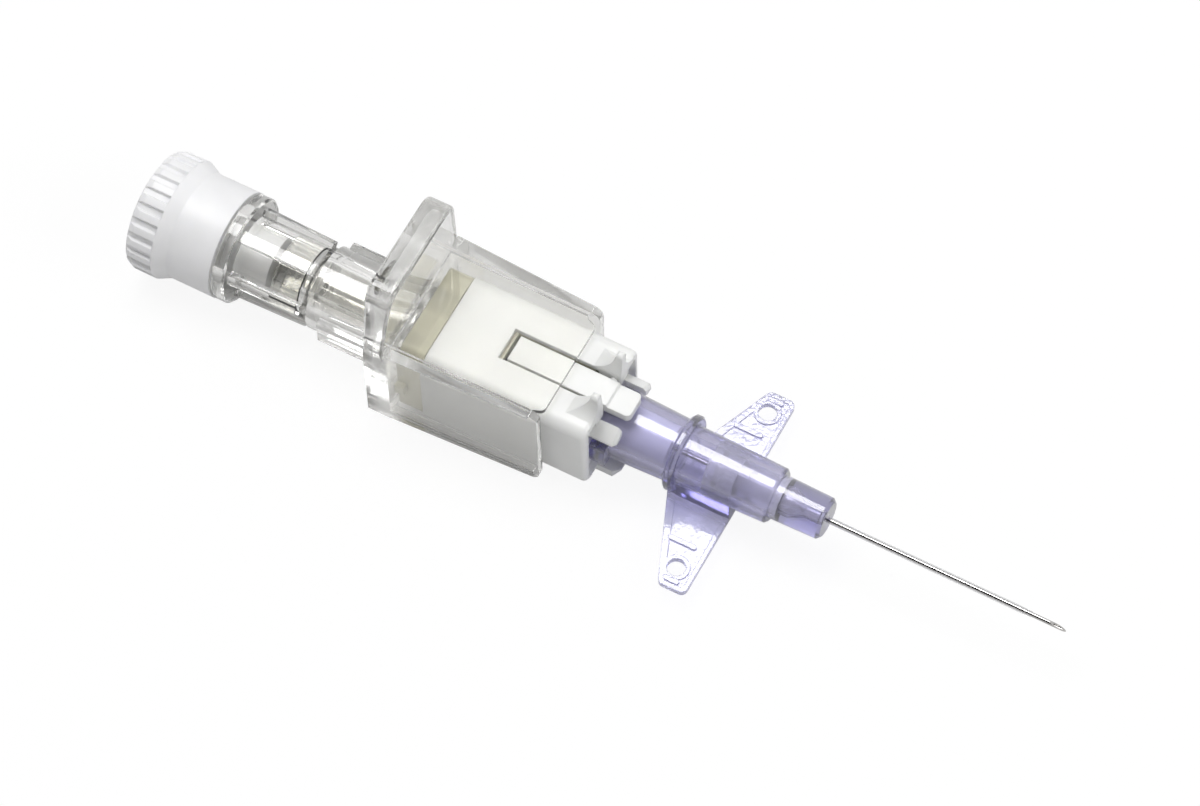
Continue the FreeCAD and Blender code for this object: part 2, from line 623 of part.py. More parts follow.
def guard_foot():
    """Chamfered tongue below the catheter hub."""
    tongue = side_profile([(BULKHEAD_REAR_X, FOOT_BOTTOM_Z), (FOOT_FRONT_X - FOOT_CHAMFER, FOOT_BOTTOM_Z),
                           (FOOT_FRONT_X, FOOT_BOTTOM_Z + FOOT_CHAMFER), (FOOT_FRONT_X, FOOT_TOP_Z),
                           (BULKHEAD_REAR_X, FOOT_TOP_Z)], -FOOT_HALF_WIDTH, FOOT_HALF_WIDTH)
    plan = plan_profile([(BULKHEAD_REAR_X, -FOOT_HALF_WIDTH), (FOOT_FRONT_X - FOOT_CHAMFER, -FOOT_HALF_WIDTH),
                         (FOOT_FRONT_X, FOOT_CHAMFER - FOOT_HALF_WIDTH),
                         (FOOT_FRONT_X, FOOT_HALF_WIDTH - FOOT_CHAMFER),
                         (FOOT_FRONT_X - FOOT_CHAMFER, FOOT_HALF_WIDTH), (BULKHEAD_REAR_X, FOOT_HALF_WIDTH)],
                        FOOT_BOTTOM_Z, FOOT_TOP_Z)
    return tongue.common(plan)


def needle_guard():
    """White guard: box, bulkhead, male nose, ears, jaws and foot in one moulding."""

    def front_rim(middle, along):
        return middle.x > GUARD_FRONT_X - EPS

    shell = rounded(guard_section(GUARD_REAR_X, GUARD_FRONT_X, 0), GUARD_RIM_R, front_rim)
    inside = guard_section(GUARD_REAR_X, BULKHEAD_REAR_X, GUARD_WALL)
    mouth = guard_section(BULKHEAD_FRONT_X, GUARD_FRONT_X, GUARD_MOUTH_WALL)
    shell = shell.cut(inside).cut(mouth)
    cheeks = across(BULKHEAD_REAR_X, GUARD_FRONT_X, CHEEK_Y, CHEEK_BOTTOM_Z, GUARD_TOP_Z)
    body = shell.fuse([cheeks, both_sides(guard_jaw()), guard_foot(), both_sides(guard_ear())])
    body = body.cut(across(SLOT_REAR_X, GUARD_FRONT_X, SLOT_HALF_WIDTH, SLOT_FLOOR_Z, EAR_TIP_Z))
    nose_rear_r = LUER_MOUTH_R - LUER_CLEARANCE
    nose_tip_r = luer_r(NOSE_TIP_X, HUB_REAR_X, 1) - LUER_CLEARANCE
    nose_foot_x = BULKHEAD_FRONT_X - EPS
    nose = turned([(nose_foot_x, 0), (nose_foot_x, nose_rear_r), (HUB_REAR_X, nose_rear_r),
                   (NOSE_TIP_X, nose_tip_r), (NOSE_TIP_X, 0)])
    body = body.fuse(nose)
    body = body.cut(rod(BULKHEAD_REAR_X, NOSE_TIP_X - GUARD_NOSE_WALL, GUARD_NOSE_BORE_R))
    body = body.cut(rod(BULKHEAD_REAR_X, NOSE_TIP_X, NEEDLE_HOLE_R))
    sockets = Part.makeCylinder(PIVOT_R + RUNNING_CLEARANCE, 2 * CHEEK_Y, V(PIVOT_X, -CHEEK_Y, PIVOT_Z),
                                V(0, 1, 0))
    return body.cut(sockets)


def release_lever():
    """Rocker in the slot of the guard, on two stub pivots."""
    bar = side_profile([(LEVER_REAR_X, LEVER_BOTTOM_Z), (LEVER_STEP_X, LEVER_PAD_BOTTOM_Z),
                        (LEVER_FRONT_X, LEVER_PAD_BOTTOM_Z), (LEVER_FRONT_X, LEVER_PAD_TOP_Z),
                        (LEVER_STEP_X, LEVER_PAD_TOP_Z), (LEVER_STEP_X - LEVER_EDGE, LEVER_TOP_Z),
                        (LEVER_REAR_X, LEVER_TOP_Z)], -LEVER_HALF_WIDTH, LEVER_HALF_WIDTH)

    def pad_corner(middle, along):
        return abs(along.z) > 1 - EPS and middle.x > LEVER_FRONT_X - EPS

    bar = rounded(bar, LEVER_PAD_CORNER_R, pad_corner)
    reach = CHEEK_Y - BODY_GAP
    pivots = Part.makeCylinder(PIVOT_R, 2 * reach, V(PIVOT_X, -reach, PIVOT_Z), V(0, 1, 0))
    return bar.fuse(pivots)


def sleeve_section(x0, x1, outset):
    """Rounded bar that fits the inside of the guard, plus outset."""
    return guard_section(x0, x1, GUARD_WALL + SLIDE_CLEARANCE - outset)


def intermediate_sleeve():
    """Thin box between the handle and the guard, with a rear rim and two side keys."""
    shell = sleeve_section(SLEEVE_REAR_X, SLEEVE_FRONT_X, 0)
    rim = sleeve_section(SLEEVE_REAR_X, GUARD_REAR_X - RIM_GAP, RIM_REACH)
    keys = across(SLEEVE_REAR_X, SLEEVE_REAR_X + KEY_LENGTH, WALL_INNER_FRONT_Y - SLIDE_CLEARANCE,
                  -KEY_HALF_HEIGHT, KEY_HALF_HEIGHT)
    body = shell.fuse([rim, keys])
    body = body.cut(sleeve_section(SLEEVE_REAR_X, SLEEVE_FRONT_X, -SLEEVE_WALL))
    return body.cut(across(SLOT_REAR_X + BODY_GAP, SLEEVE_FRONT_X, SLOT_HALF_WIDTH, 0, GUARD_TOP_Z))


def tip_shutter():
    """Steel leaf on the rear of the bulkhead, held below the needle until the tip has passed."""
    front = BULKHEAD_REAR_X
    rear = front - SHUTTER_THICKNESS
    top_z = -NEEDLE_R - RUNNING_CLEARANCE
    leaf = across(rear, front, SHUTTER_HALF_WIDTH, SHUTTER_BOTTOM_Z, top_z)
    foot = across(front - SHUTTER_FOOT_LENGTH, front, SHUTTER_HALF_WIDTH, SHUTTER_BOTTOM_Z,
                  SHUTTER_BOTTOM_Z + SHUTTER_THICKNESS)
    return leaf.fuse(foot)


def shutter_spring():
    """Bowed strip spring below the foot of the shutter."""
    front = BULKHEAD_REAR_X
    rear = front - SHUTTER_FOOT_LENGTH
    top_z = SHUTTER_BOTTOM_Z
    middle = (front + rear) / 2
    end_z = top_z - SPRING_RISE
    outer = Part.Arc(V(rear, 0, end_z), V(middle, 0, top_z), V(front, 0, end_z))
    inner = Part.Arc(V(rear, 0, end_z - SPRING_THICKNESS), V(middle, 0, top_z - SPRING_THICKNESS),
                     V(front, 0, end_z - SPRING_THICKNESS))
    wire = Part.Wire([
        outer.toShape(),
        Part.makeLine(outer.EndPoint, inner.EndPoint), inner.toShape(),
        Part.makeLine(inner.StartPoint, outer.StartPoint)])
    strip = Part.Face(wire).extrude(V(0, 2 * SPRING_HALF_WIDTH, 0))
    strip.translate(V(0, -SPRING_HALF_WIDTH, 0))
    return strip


def flash_chamber():
    """Clear chamber with a male Luer nose, a ribbed collar and a rear ring."""
    nose_rear_r = LUER_MOUTH_R - LUER_CLEARANCE
    nose_tip_x = SOCKET_END_X - BODY_GAP
    nose_tip_r = luer_r(nose_tip_x, SOCKET_REAR_X, 1) - LUER_CLEARANCE
    ring_front = COLLAR_REAR_X + COLLAR_RING_LENGTH
    body = turned([
        (COLLAR_REAR_X, 0), (COLLAR_REAR_X, COLLAR_RING_R - HUB_EDGE),
        (COLLAR_REAR_X + HUB_EDGE, COLLAR_RING_R), (ring_front - HUB_EDGE, COLLAR_RING_R),
        (ring_front, COLLAR_RING_R - HUB_EDGE), (ring_front, COLLAR_CORE_R),
        (COLLAR_FRONT_X, COLLAR_CORE_R), (COLLAR_FRONT_X, nose_rear_r), (SOCKET_REAR_X, nose_rear_r),
        (nose_tip_x, nose_tip_r), (nose_tip_x, 0)])
    rib = side_profile([(ring_front - HUB_EDGE, 0), (ring_front - HUB_EDGE, RIB_REAR_R),
                        (COLLAR_FRONT_X, RIB_FRONT_R), (COLLAR_FRONT_X, 0)], -RIB_HALF_WIDTH, RIB_HALF_WIDTH)
    ribs = []
    for index in range(RIB_COUNT):
        turned_rib = rib.copy()
        turned_rib.rotate(V(0, 0, 0), X_AXIS, RIB_FIRST_ANGLE + index * FULL_TURN / RIB_COUNT)
        ribs.append(turned_rib)
    body = body.fuse(ribs)
    body = body.cut(rod(COLLAR_REAR_X, CHAMBER_BORE_FRONT_X, CHAMBER_BORE_R))
    return body.cut(rod(COLLAR_REAR_X, nose_tip_x, FLASH_BORE_R))


def chamber_liner():
    """Short clear tube seated in the bottom of the chamber."""
    rear = CHAMBER_BORE_FRONT_X - LINER_LENGTH
    tube = rod(rear, CHAMBER_BORE_FRONT_X, CHAMBER_BORE_R)
    return tube.cut(rod(rear, CHAMBER_BORE_FRONT_X, CHAMBER_BORE_R - LINER_WALL))


def vent_cap():
    """White cap with a grooved grip ring and a hollow plug that fits the chamber."""
    inner_end = CAP_REAR_X + CAP_END
    grip_front = CAP_REAR_X + CAP_GRIP_LENGTH
    plug_r = CHAMBER_BORE_R - LUER_CLEARANCE
    edge_step = CAP_EDGE_R * (1 - math.sqrt(0.5))
    body = turned([
        (CAP_REAR_X, 0), (CAP_REAR_X, CAP_GRIP_R - CAP_EDGE_R),
        (CAP_REAR_X + edge_step, CAP_GRIP_R - edge_step), (CAP_REAR_X + CAP_EDGE_R, CAP_GRIP_R),
        (grip_front, CAP_GRIP_R), (grip_front + CAP_SHOULDER_LENGTH, CAP_BODY_R), (CAP_FRONT_X, CAP_BODY_R),
        (CAP_FRONT_X, CAP_BODY_R - CAP_WALL), (inner_end, CAP_BODY_R - CAP_WALL), (inner_end, plug_r),
        (CAP_PLUG_FRONT_X, plug_r), (CAP_PLUG_FRONT_X, CAP_PLUG_BORE_R), (inner_end, CAP_PLUG_BORE_R),
        (inner_end, 0)])
    floor_z = CAP_GRIP_R - CAP_GROOVE_DEPTH
    groove = end_profile([(-CAP_GROOVE_WIDTH / 2, CAP_GRIP_R), (-CAP_GROOVE_FLOOR / 2, floor_z),
                          (CAP_GROOVE_FLOOR / 2, floor_z), (CAP_GROOVE_WIDTH / 2, CAP_GRIP_R)],
                         CAP_REAR_X, grip_front)
    grooves = []
    for index in range(CAP_GROOVES):
        turned_groove = groove.copy()
        turned_groove.rotate(V(0, 0, 0), X_AXIS, index * FULL_TURN / CAP_GROOVES)
        grooves.append(turned_groove)
    body = body.cut(grooves)
    body = body.cut(rod(CAP_REAR_X, CAP_REAR_X + CAP_DISH_DEPTH, CAP_DISH_R))
    return body.cut(rod(CAP_REAR_X, inner_end, CAP_VENT_R))


def vent_filter():
    """Porous disc in the plug of the cap."""
    front = CAP_PLUG_FRONT_X - BODY_GAP
    return rod(front - FILTER_LENGTH, front, CAP_PLUG_BORE_R)


NODES = [
    handle_housing, needle_hub, needle, needle_bond, intermediate_sleeve, needle_guard, tip_shutter,
    shutter_spring, release_lever, catheter_hub, catheter_tube, catheter_wedge, haemostasis_valve,
    valve_opener, valve_ring, flash_chamber, chamber_liner, vent_cap, vent_filter]

os.makedirs("parts", exist_ok=True)
for node in NODES:
    place(node.__name__, node())
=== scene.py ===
"""Finishes the packed winged cannula and sets the stage round it.

Everything is in metres, in the frame of the packed model: the needle points to +X and +Z is up.
"""

import math

import bmesh
import bpy
from mathutils import Euler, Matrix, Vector


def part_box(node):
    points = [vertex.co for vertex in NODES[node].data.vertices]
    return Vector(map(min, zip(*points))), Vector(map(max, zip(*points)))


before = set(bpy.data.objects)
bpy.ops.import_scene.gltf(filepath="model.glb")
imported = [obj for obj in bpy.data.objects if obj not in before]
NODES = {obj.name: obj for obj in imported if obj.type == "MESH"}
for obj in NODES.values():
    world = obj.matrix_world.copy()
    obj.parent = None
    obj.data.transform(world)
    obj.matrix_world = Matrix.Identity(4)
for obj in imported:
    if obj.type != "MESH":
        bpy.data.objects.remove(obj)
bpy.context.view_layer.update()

bl_info = {
    "name": "Winged Cannula",
    "version": (1, 0, 0),
    "blender": (4, 5, 0),
    "location": "3D View > Sidebar > Cannula",
    "description": "Finishes a packed winged cannula and lights it",
    "category": "Object",
}

MM = 0.001
# Places on the CAD nodes, in front of the rear end of their node
FLANGE_SETBACK = 7.6 * MM
HEAD_SETBACK = 13.3 * MM
# Grained band on the rim of the flange, in front of its thumb face
GRAIN_START = 1.0 * MM
GRAIN_END = 2.6 * MM
# The hub's finish turns into that of the wings between these distances from the needle
WING_ROOT = 2.4 * MM
WING_FULL = 3.4 * MM
WING_TOP = 0.9 * MM
CORNER_SAMPLES = 4
# Lamp light that each face of the catheter tube lets straight through
TUBE_LAMPLIGHT = (0.8, 0.8, 0.8)

FLOOR_REACH = 3.0
WHITE_STRENGTH = 1.05
DARK_SIDE = (0.0, -0.82, 0.57)
# Cosine of the angle to the dark side at which it starts, and at which it is full
DARK_START = 0.4
DARK_FULL = 0.55
DARK_LEVEL = 0.02
# Name, place, length, width and power in watts
LAMPS = (("overhead lamp", (-0.17, 0.10, 0.72), 0.5, 0.26, 3.3),
         ("side lamp", (0.6, 0.05, 0.45), 0.4, 0.4, 1.5))
SENSOR_WIDTH = 36.0
CLEAR_BOUNCES = 32
GLOSSY_BOUNCES = 24


def colour(name, text, value):
    """A colour setting with no alpha."""
    return bpy.props.FloatVectorProperty(name=name, description=text, subtype="COLOR", size=3,
                                         min=0.0, max=1.0, default=value)


def share(name, text, value):
    """A setting from 0 to 1."""
    return bpy.props.FloatProperty(name=name, description=text, min=0.0, max=1.0,
                                   default=value, subtype="FACTOR")


def length(name, text, value):
    """A length in metres."""
    return bpy.props.FloatProperty(name=name, description=text, min=0.0, default=value,
                                   subtype="DISTANCE", unit="LENGTH", precision=5)


class ClearPlasticSettings(bpy.types.PropertyGroup):
    """Finish of the clear mouldings."""
    tint: colour("Tint", "Colour of light that passes through a wall", (0.992, 0.989, 0.972))
    polish: share("Roughness", "Roughness of the moulded faces", 0.015)
    ripple: length("Ripple size", "Size of the flow waves in the faces", 3.5 * MM)
    ripple_height: length("Ripple height", "Height of the flow waves", 0.01 * MM)
    grain: length("Grain size", "Size of the grain on the rim of the flange", 0.16 * MM)
    grain_height: length("Grain height", "Height of that grain", 0.02 * MM)
    lamplight: colour("Lamp light", "Lamp light that each face lets straight through",
                      (0.55, 0.55, 0.54))


class VioletPlasticSettings(bpy.types.PropertyGroup):
    """Finish of the catheter hub and the needle hub."""
    tint: colour("Tint", "Colour that the violet plastic lets through", (0.36, 0.34, 0.66))
    depth: length("Colour depth", "Thickness of plastic that gives the full tint", 2.2 * MM)
    milk: colour("Milkiness", "Colour of the light that the hub scatters", (0.90, 0.89, 0.95))
    wing: colour("Wing colour", "Colour of the light that a wing scatters", (0.72, 0.72, 0.84))
    clearness: share("Clearness", "Share of the light that passes into the hub", 0.9)
    wing_clearness: share("Wing clearness", "Share of the light that passes into a wing", 0.55)
    lamplight: colour("Lamp light", "Lamp light that each face lets straight through",
                      (0.8, 0.8, 0.88))
    pale: colour("Pale colour", "Colour of the shaft of the needle hub", (0.94, 0.94, 0.95))
    deep: colour("Deep colour", "Colour of the head of the needle hub", (0.10, 0.07, 0.30))
    polish: share("Roughness", "Roughness of the moulded faces", 0.09)
    edge: length("Edge radius", "Radius of the moulded edges", 0.12 * MM)
    pebble: length("Pebble size", "Size of the pebble texture on the wings", 0.45 * MM)
    pebble_height: length("Pebble height", "Height of the pebbles", 0.022 * MM)


class WhitePlasticSettings(bpy.types.PropertyGroup):
    """Finish of the guard, the lever and the vent cap."""
    guard: colour("Guard colour", "Colour of the guard and the lever", (0.89, 0.895, 0.88))
    cap: colour("Cap colour", "Colour of the vent cap", (0.90, 0.90, 0.91))
    shade: share("Clouding", "How much darker the cloudy places are", 0.04)
    satin: share("Roughness", "Roughness of the moulded faces", 0.38)
    glow: share("Subsurface", "Share of light that goes under the surface", 0.25)
    edge: length("Edge radius", "Radius of the moulded edges", 0.15 * MM)


class SleevePlasticSettings(bpy.types.PropertyGroup):
    """Finish of the sleeve between the handle and the guard."""
    body: colour("Colour", "Colour of the smoky plastic", (0.88, 0.85, 0.66))
    satin: share("Roughness", "Roughness of the moulded faces", 0.22)


class SteelSettings(bpy.types.PropertyGroup):
    """Finish of the needle, the shutter and its spring."""
    body: colour("Colour", "Colour of the drawn steel", (0.5, 0.49, 0.48))
    polish: share("Roughness", "Roughness of the drawn surface", 0.1)


class StageSettings(bpy.types.PropertyGroup):
    """Camera, lamps and floor."""
    camera_place: bpy.props.FloatVectorProperty(
        name="Camera place", description="Where the camera stands", size=3, subtype="TRANSLATION",
        unit="LENGTH", default=(0.10088, -0.17835, 0.37965))
    camera_turn: bpy.props.FloatVectorProperty(
        name="Camera turn", description="How the camera is turned", size=3, subtype="EULER",
        unit="ROTATION",
        default=(math.radians(28.827), math.radians(0.696), math.radians(28.213)))
    lens: bpy.props.FloatProperty(name="Lens", description="Focal length in millimetres",
                                  default=150.0, min=20.0, unit="CAMERA")
    floor: colour("Floor", "Colour of the floor", (0.72, 0.72, 0.72))
    glow: share("Background", "Share of white that the floor shows over its shadow", 0.86)
    glow_inside: share("Background inside", "That share as gloss and clear plastic show it", 0.15)
    room: share("Room", "Brightness of the room that gloss and clear plastic show", 0.9)
    ambient: share("Ambient", "Strength of the even light", 0.28)


SETTINGS = {
    "cannula_clear": ClearPlasticSettings,
    "cannula_violet": VioletPlasticSettings,
    "cannula_white": WhitePlasticSettings,
    "cannula_sleeve": SleevePlasticSettings,
    "cannula_steel": SteelSettings,
    "cannula_stage": StageSettings,
}


class Nodes:
    """A node tree under construction."""

    def __init__(self, tree):
        self.tree = tree

    def node(self, kind, links=None, **values):
        """Adds a node, sets its properties, and sets or links its inputs."""
        made = self.tree.nodes.new(kind)
        for key, value in values.items():
            setattr(made, key, value)
        for key, value in (links or {}).items():
            if isinstance(value, bpy.types.NodeSocket):
                self.tree.links.new(value, made.inputs[key])
            else:
                made.inputs[key].default_value = value
        return made

    def spread(self, value, low, high, start=0.0, end=1.0):
        """Spreads a value between low and high, as it goes from start to end."""
        made = self.node("ShaderNodeMapRange", {"Value": value, "From Min": start,
                                                "From Max": end, "To Min": low, "To Max": high})
        return made.outputs["Result"]

    def work_out(self, operation, *values):
        """The result of a sum."""
        made = self.node("ShaderNodeMath", dict(enumerate(values)), operation=operation)
        return made.outputs["Value"]

    def pick(self, factor, first, second):
        """A number between two."""
        made = self.node("ShaderNodeMix", {"Factor": factor, "A": first, "B": second})
        return made.outputs["Result"]


class Finish(Nodes):
    """A material under construction, with its main shader."""

    def __init__(self, name):
        self.material = bpy.data.materials.new(name)
        self.material.use_nodes = True
        super().__init__(self.material.node_tree)
        self.shader = self.tree.nodes["Principled BSDF"]
        self.output = self.tree.nodes["Material Output"]

    def place(self, stretch=(1.0, 1.0, 1.0)):
        """Object coordinates in metres, stretched along the axes."""
        place = self.node("ShaderNodeTexCoord").outputs["Object"]
        mapping = self.node("ShaderNodeMapping", {"Vector": place, "Scale": stretch})
        return mapping.outputs["Vector"]

    def along(self, axis):
        """The object coordinate in metres along X, Y or Z."""
        return self.node("ShaderNodeSeparateXYZ", {"Vector": self.place()}).outputs[axis]

    def noise(self, size, detail=2.0, stretch=(1.0, 1.0, 1.0)):
        """Noise whose features are about size across."""
        made = self.node("ShaderNodeTexNoise", {"Vector": self.place(stretch),
                                                "Scale": 1.0 / size, "Detail": detail})
        return made.outputs["Fac"]

    def blend(self, factor, first, second):
        """A colour between two."""
        made = self.node("ShaderNodeMix", data_type="RGBA")
        self.tree.links.new(factor, made.inputs["Factor"])
        made.inputs["A"].default_value = (*first, 1.0)
        made.inputs["B"].default_value = (*second, 1.0)
        return made.outputs["Result"]

    def soft_edges(self, radius):
        """Surface direction with the edges rounded off by that radius in metres."""
        made = self.node("ShaderNodeBevel", {"Radius": radius}, samples=CORNER_SAMPLES)
        return made.outputs["Normal"]

    def bump(self, height, distance, strength=1.0, over=None):
        """Adds a bump of that height in metres, over another one where given."""
        links = {"Height": height, "Distance": distance, "Strength": strength}
        if over is not None:
            links["Normal"] = over
        return self.node("ShaderNodeBump", links).outputs["Normal"]

    def pass_lamplight(self, passed):
        """Lets some lamp light straight through, so that it reaches what the plastic covers."""
        path = self.node("ShaderNodeLightPath")
        gap = self.node("ShaderNodeBsdfTransparent", {"Color": (*passed, 1.0)})
        both = self.node("ShaderNodeMixShader", {0: path.outputs["Is Shadow Ray"],
                                                 1: self.shader.outputs["BSDF"],
                                                 2: gap.outputs["BSDF"]})
        self.tree.links.new(both.outputs["Shader"], self.output.inputs["Surface"])

    def set(self, **sockets):
        """Sets or links sockets of the main shader, with _ for a space in their names."""
        for key, value in sockets.items():
            socket = self.shader.inputs[key.replace("_", " ")]
            if isinstance(value, bpy.types.NodeSocket):
                self.tree.links.new(value, socket)
            else:
                socket.default_value = value
        return self


def coat(finish, *names):
    """Gives CAD nodes a finish."""
    for name in names:
        slots = NODES[name].data.materials
        slots.clear()
        slots.append(finish.material)


def clear_finish(name):
    """Clear, polished plastic with slow flow waves in its faces."""
    settings = bpy.context.scene.cannula_clear
    finish = Finish(name)
    waves = finish.noise(settings.ripple, 1.0, (0.5, 1.0, 1.0))
    specks = finish.noise(settings.ripple / 8, 3.0)
    finish.normal = finish.bump(waves, settings.ripple_height)
    finish.set(Base_Color=(*settings.tint, 1.0), Transmission_Weight=1.0, IOR=1.45,
               Roughness=finish.spread(specks, settings.polish, settings.polish * 3),
               Normal=finish.normal, Coat_Weight=0.6, Coat_Roughness=0.02,
               Coat_Normal=finish.normal)
    finish.pass_lamplight(settings.lamplight)
    return finish


def grain_rim(finish):
    """Grains the front part of the flange's rim, between its thumb face and its front face."""
    settings = bpy.context.scene.cannula_clear
    thumb_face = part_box("handle_housing")[0].x + FLANGE_SETBACK
    start = thumb_face + GRAIN_START
    ahead = finish.spread(finish.along("X"), 0.0, 1.0, start, start + 0.05 * MM)
    behind = finish.work_out("LESS_THAN", finish.along("X"), thumb_face + GRAIN_END)
    facing = finish.node("ShaderNodeNewGeometry").outputs["Normal"]
    facing_x = finish.node("ShaderNodeSeparateXYZ", {"Vector": facing}).outputs["X"]
    on_rim = finish.work_out("LESS_THAN", finish.work_out("ABSOLUTE", facing_x), 0.5)
    mask = finish.work_out("MULTIPLY", finish.work_out("MULTIPLY", ahead, on_rim), behind)
    grained = finish.bump(finish.noise(settings.grain, 2.0), settings.grain_height, mask,
                          finish.normal)
    finish.set(Normal=grained, Coat_Normal=grained)


class CannulaOperator(bpy.types.Operator):
    """Common options of the steps that finish the cannula."""
    bl_options = {"REGISTER", "UNDO"}


class CANNULA_OT_clear_mouldings(CannulaOperator):
    """Finish the clear handle, the flash chamber and its liner"""
    bl_idname = "cannula.clear_mouldings"
    bl_label = "Clear Mouldings"

    def execute(self, context):
        handle = clear_finish("clear handle plastic")
        grain_rim(handle)
        coat(handle, "handle_housing")
        coat(clear_finish("clear chamber plastic"), "flash_chamber", "chamber_liner")
        return {"FINISHED"}


class CANNULA_OT_needle(CannulaOperator):
    """Finish the steel needle, the tip shutter and its spring"""
    bl_idname = "cannula.needle"
    bl_label = "Steel Parts"

    def execute(self, context):
        settings = context.scene.cannula_steel
        finish = Finish("drawn steel")
        streaks = finish.noise(0.1 * MM, 4.0, (0.02, 1.0, 1.0))
        rough = finish.spread(streaks, settings.polish * 0.7, settings.polish * 1.6)
        finish.set(Base_Color=(*settings.body, 1.0), Metallic=1.0, Roughness=rough,
                   Normal=finish.bump(streaks, 0.001 * MM))
        coat(finish, "needle", "tip_shutter", "shutter_spring")
        return {"FINISHED"}


class CANNULA_OT_needle_hub(CannulaOperator):
    """Finish the needle hub, deep violet at its head, and the adhesive in it"""
    bl_idname = "cannula.needle_hub"
    bl_label = "Needle Hub"

    def execute(self, context):
        settings = context.scene.cannula_violet
        finish = Finish("needle hub plastic")
        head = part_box("needle_hub")[0].x + HEAD_SETBACK
        at_head = finish.spread(finish.along("X"), 0.0, 1.0, head - 0.4 * MM, head + 0.1 * MM)
        clouds = finish.spread(finish.noise(1.2 * MM), 0.85, 1.0)
        depth = finish.work_out("MULTIPLY", at_head, clouds)
        finish.set(Base_Color=finish.blend(depth, settings.pale, settings.deep),
                   Transmission_Weight=finish.spread(at_head, 0.97, 0.25), IOR=1.4,
                   Roughness=settings.polish, Normal=finish.soft_edges(settings.edge))
        coat(finish, "needle_hub")
        glue = Finish("cured adhesive")
        clouds = glue.noise(0.5 * MM)
        glue.set(Base_Color=glue.blend(clouds, (0.78, 0.73, 0.55), (0.86, 0.82, 0.66)),
                 Roughness=0.1, Transmission_Weight=0.6)
        coat(glue, "needle_bond")
        return {"FINISHED"}


class CANNULA_OT_sleeve(CannulaOperator):
    """Finish the smoky sleeve between the handle and the guard"""
    bl_idname = "cannula.sleeve"
    bl_label = "Sleeve"

    def execute(self, context):
        settings = context.scene.cannula_sleeve
        finish = Finish("smoky plastic")
        streaks = finish.noise(3 * MM, 1.0, (0.3, 1.0, 1.0))
        clouds = finish.spread(streaks, 0.0, 1.0, 0.35, 0.6)
        cloudy = [0.72 * value for value in settings.body]
        rough = finish.spread(finish.noise(1 * MM), settings.satin * 0.9, settings.satin * 1.1)
        finish.set(Base_Color=finish.blend(clouds, cloudy, settings.body), Roughness=rough,
                   Transmission_Weight=0.2, Normal=finish.soft_edges(0.15 * MM),
                   Coat_Weight=0.4, Coat_Roughness=0.08)
        coat(finish, "intermediate_sleeve")
        return {"FINISHED"}


def white_finish(name, body):
    """Opaque white plastic with a satin grain."""
    settings = bpy.context.scene.cannula_white
    finish = Finish(name)
    clouds = finish.spread(finish.noise(4 * MM, 3.0), 0.0, 1.0, 0.35, 0.65)
    grain = finish.noise(0.12 * MM, 3.0)
    cloudy = [value * (1.0 - settings.shade) for value in body]
    finish.set(Base_Color=finish.blend(clouds, body, cloudy),
               Roughness=finish.spread(grain, settings.satin * 0.8, settings.satin * 1.25),
               Subsurface_Weight=settings.glow, Subsurface_Radius=(1.0, 1.0, 0.9),
               Subsurface_Scale=0.8 * MM,
               Normal=finish.bump(grain, 0.003 * MM, 1.0, finish.soft_edges(settings.edge)))
    return finish


class CANNULA_OT_guard(CannulaOperator):
    """Finish the white guard and its lever"""
    bl_idname = "cannula.guard"
    bl_label = "Guard and Lever"

    def execute(self, context):
        settings = context.scene.cannula_white
        coat(white_finish("white guard plastic", settings.guard), "needle_guard")
        coat(white_finish("white lever plastic", settings.guard), "release_lever")
        return {"FINISHED"}


class CANNULA_OT_cap(CannulaOperator):
    """Finish the vent cap and the filter in it"""
    bl_idname = "cannula.cap"
    bl_label = "Vent Cap"

    def execute(self, context):
        coat(white_finish("white cap plastic", context.scene.cannula_white.cap), "vent_cap")
        finish = Finish("sintered filter")
        cells = finish.noise(0.09 * MM, 4.0)
        finish.set(Base_Color=finish.blend(cells, (0.82, 0.82, 0.78), (0.93, 0.93, 0.9)),
                   Roughness=0.8, Normal=finish.bump(cells, 0.03 * MM))
        coat(finish, "vent_filter")
        return {"FINISHED"}


def violet_finish(name):
    """Milky violet plastic that deepens with its thickness, paler and pebbled on the wings."""
    settings = bpy.context.scene.cannula_violet
    finish = Finish(name)
    across = finish.work_out("ABSOLUTE", finish.along("Y"))
    outwards = finish.spread(across, 0.0, 1.0, WING_ROOT, WING_FULL)
    wing_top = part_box("catheter_hub")[0].z + WING_TOP
    low_down = finish.work_out("LESS_THAN", finish.along("Z"), wing_top)
    on_wing = finish.work_out("MULTIPLY", outwards, low_down)
    flow = finish.bump(finish.noise(2.5 * MM, 1.0), 0.008 * MM, 1.0,
                       finish.soft_edges(settings.edge))
    pebbles = finish.noise(settings.pebble, 1.5)
    pebbled = finish.bump(pebbles, settings.pebble_height, on_wing, flow)
    rough = finish.spread(finish.noise(0.5 * MM), settings.polish * 0.7, settings.polish * 1.4)
    clear = finish.spread(on_wing, settings.clearness, settings.wing_clearness)
    finish.set(Base_Color=finish.blend(on_wing, settings.milk, settings.wing), IOR=1.4,
               Roughness=rough, Transmission_Weight=clear, Normal=pebbled,
               Coat_Weight=1.0, Coat_Roughness=0.06, Coat_Normal=pebbled)
    body = finish.node("ShaderNodeVolumeAbsorption", {"Color": (*settings.tint, 1.0),
                                                      "Density": 1.0 / settings.depth})
    finish.tree.links.new(body.outputs["Volume"], finish.output.inputs["Volume"])
    finish.pass_lamplight(settings.lamplight)
    return finish


